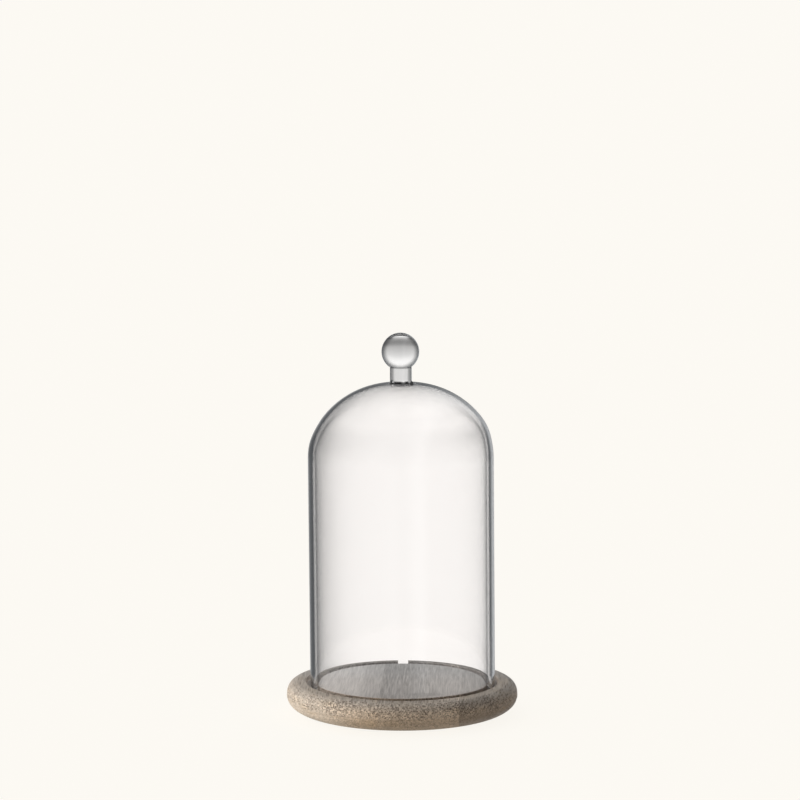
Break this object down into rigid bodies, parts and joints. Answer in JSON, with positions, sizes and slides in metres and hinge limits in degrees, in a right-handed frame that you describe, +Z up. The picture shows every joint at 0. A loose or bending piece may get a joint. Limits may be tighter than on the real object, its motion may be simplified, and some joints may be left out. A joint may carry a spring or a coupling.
{
  "type": "bell jar dome",
  "caption": "Clear glass bell jar with a ball knob, standing in the groove of a round turned wooden base with a lead notch at the back.",
  "frame": {"origin": "centre of the round base, on the plane that its foot pads rest on", "axes": "+Z up along the axis of the bell; +Y to the back, where the lead notch is; +X to the right as seen from the front"},
  "size_m": [0.18, 0.18, 0.2992],
  "materials": {
    "glass": "clear blown glass, polished",
    "wood": "open-pored grey-washed ash, matt oiled",
    "felt": "dense pressed felt"
  },
  "bodies": {
    "base": {"base_stave_left": "wood", "base_stave_centre": "wood", "base_stave_right": "wood", "foot_pad_front_left": "felt", "foot_pad_front_right": "felt", "foot_pad_rear_left": "felt", "foot_pad_rear_right": "felt"},
    "dome": {"dome_shell": "glass", "knob_stem": "glass", "knob_ball": "glass"}
  },
  "joints": [
    {"name": "dome_lift", "type": "slide", "parent": "base", "child": "dome", "axis": [0, 0, 1], "range_m": [0, 0.25]}
  ]
}
